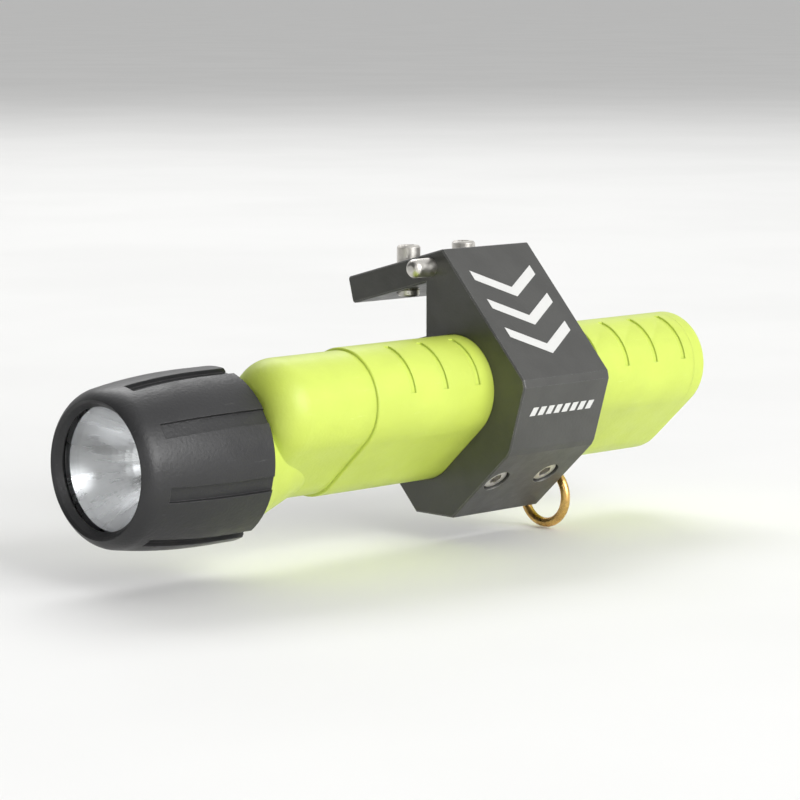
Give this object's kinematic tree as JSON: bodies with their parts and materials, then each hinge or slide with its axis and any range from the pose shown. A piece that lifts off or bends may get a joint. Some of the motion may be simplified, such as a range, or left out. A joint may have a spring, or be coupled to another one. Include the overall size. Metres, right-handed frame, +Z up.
{
  "type": "firefighter flashlight",
  "caption": "Helmet torch with a fluted screw bezel and an oval barrel of cells, held by an aluminium bracket whose jaw and screws clamp on a helmet brim.",
  "frame": {"origin": "middle of the flat seat in the bracket that takes the underside of the helmet brim", "axes": "+X along the torch from lamp to tail, -Y away from the helmet, +Z up as worn"},
  "size_m": [0.188, 0.0623, 0.0739],
  "materials": {
    "block_anodised": "satin dark grey anodised aluminium, machined",
    "steel_bright": "bright nickel-plated steel",
    "ring_brass": "drawn brass wire, lightly worn",
    "nylon_white": "natural nylon",
    "barrel_yellow": "high-visibility yellow-green moulded polymer, satin",
    "bezel_black": "black moulded polymer, fine satin",
    "rubber_black": "black nitrile rubber",
    "lens_clear": "clear polycarbonate lens",
    "reflector_bright": "vacuum-metallised reflector",
    "led_phosphor": "yellow phosphor under a clear dome",
    "board_white": "white metal-core circuit board",
    "board_green": "green circuit board",
    "sink_aluminium": "turned aluminium",
    "housing_grey": "black glass-filled nylon",
    "contact_brass": "brass contact",
    "contact_nickel": "nickel-plated spring steel",
    "cartridge_black": "black moulded polymer",
    "cell_wrap": "plain printed-film cell jacket, no marks"
  },
  "bodies": {
    "bracket": {"holder_block": "block_anodised", "end_stud": "steel_bright", "eye_stud": "steel_bright"},
    "ring": {"lanyard_ring": "ring_brass"},
    "front_brim_pad": {"brim_pad_front": "steel_bright"},
    "front_brim_screw": {"brim_screw_front": "steel_bright"},
    "rear_brim_pad": {"brim_pad_rear": "steel_bright"},
    "rear_brim_screw": {"brim_screw_rear": "steel_bright"},
    "shoe": {"pressure_shoe": "nylon_white"},
    "front_clamp_screw": {"clamp_screw_front": "steel_bright"},
    "rear_clamp_screw": {"clamp_screw_rear": "steel_bright"},
    "torch": {"barrel": "barrel_yellow", "neck_o_ring": "rubber_black", "battery_cartridge": "cartridge_black", "cell_1": "cell_wrap", "cell_2": "cell_wrap", "cell_3": "cell_wrap", "cell_4": "cell_wrap", "nose_contact": "contact_brass", "ground_ring": "contact_nickel", "front_contacts": "contact_nickel", "cell_springs": "contact_nickel", "crossover_plate": "contact_nickel"},
    "cap": {"tail_cap": "barrel_yellow", "tail_gasket": "rubber_black"},
    "lamp": {"reflector": "reflector_bright", "led_emitter": "led_phosphor", "led_board": "board_white", "heat_sink": "sink_aluminium", "driver_board": "board_green", "module_housing": "housing_grey", "contact_pin": "contact_brass"},
    "bezel_head": {"bezel": "bezel_black", "lens": "lens_clear", "lens_seal": "rubber_black"}
  },
  "joints": [
    {"name": "torch_slide", "type": "slide", "parent": "bracket", "child": "torch", "axis": [1, 0, 0], "range_m": [-0.03, 0.035]},
    {"name": "tail_cap_pull", "type": "slide", "parent": "torch", "child": "cap", "axis": [1, 0, 0], "range_m": [0, 0.012]},
    {"name": "lamp_advance", "type": "slide", "parent": "torch", "child": "lamp", "axis": [-1, 0, 0], "range_m": [0, 0.005]},
    {"name": "bezel_twist", "type": "hinge", "parent": "lamp", "child": "bezel_head", "pos_m": [-0.11965, -0.008, -0.0203], "axis": [-1, 0, 0], "range_deg": [0, 720]},
    {"name": "shoe_release", "type": "slide", "parent": "bracket", "child": "shoe", "axis": [0, -0.6782, -0.7349], "range_m": [0, 0.0007]},
    {"name": "front_clamp_turn", "type": "hinge", "parent": "shoe", "child": "front_clamp_screw", "pos_m": [-0.011, -0.02572, -0.02844], "axis": [0, -0.6782, -0.7349], "range_deg": [0, 360]},
    {"name": "rear_clamp_turn", "type": "hinge", "parent": "shoe", "child": "rear_clamp_screw", "pos_m": [0.007, -0.02572, -0.02844], "axis": [0, -0.6782, -0.7349], "range_deg": [0, 360]},
    {"name": "ring_swing", "type": "hinge", "parent": "bracket", "child": "ring", "pos_m": [0.01965, -0.01765, -0.03371], "axis": [0, -1, 0], "range_deg": [-12, 60]},
    {"name": "front_brim_pad_travel", "type": "slide", "parent": "bracket", "child": "front_brim_pad", "axis": [0, 0, -1], "range_m": [0, 0.005]},
    {"name": "front_brim_screw_turn", "type": "hinge", "parent": "front_brim_pad", "child": "front_brim_screw", "pos_m": [-0.01, 0.0026, 0.013], "axis": [0, 0, -1], "range_deg": [0, 1800]},
    {"name": "rear_brim_pad_travel", "type": "slide", "parent": "bracket", "child": "rear_brim_pad", "axis": [0, 0, -1], "range_m": [0, 0.005]},
    {"name": "rear_brim_screw_turn", "type": "hinge", "parent": "rear_brim_pad", "child": "rear_brim_screw", "pos_m": [0.01, 0.0026, 0.013], "axis": [0, 0, -1], "range_deg": [0, 1800]}
  ],
  "couplings": [
    {"joint": "lamp_advance", "follows": "bezel_twist", "m_per_rad": 0.00039789},
    {"joint": "front_clamp_turn", "follows": "shoe_release", "rad_per_m": 8976},
    {"joint": "rear_clamp_turn", "follows": "shoe_release", "rad_per_m": 8976},
    {"joint": "front_brim_screw_turn", "follows": "front_brim_pad_travel", "rad_per_m": 6283.2},
    {"joint": "rear_brim_screw_turn", "follows": "rear_brim_pad_travel", "rad_per_m": 6283.2}
  ]
}
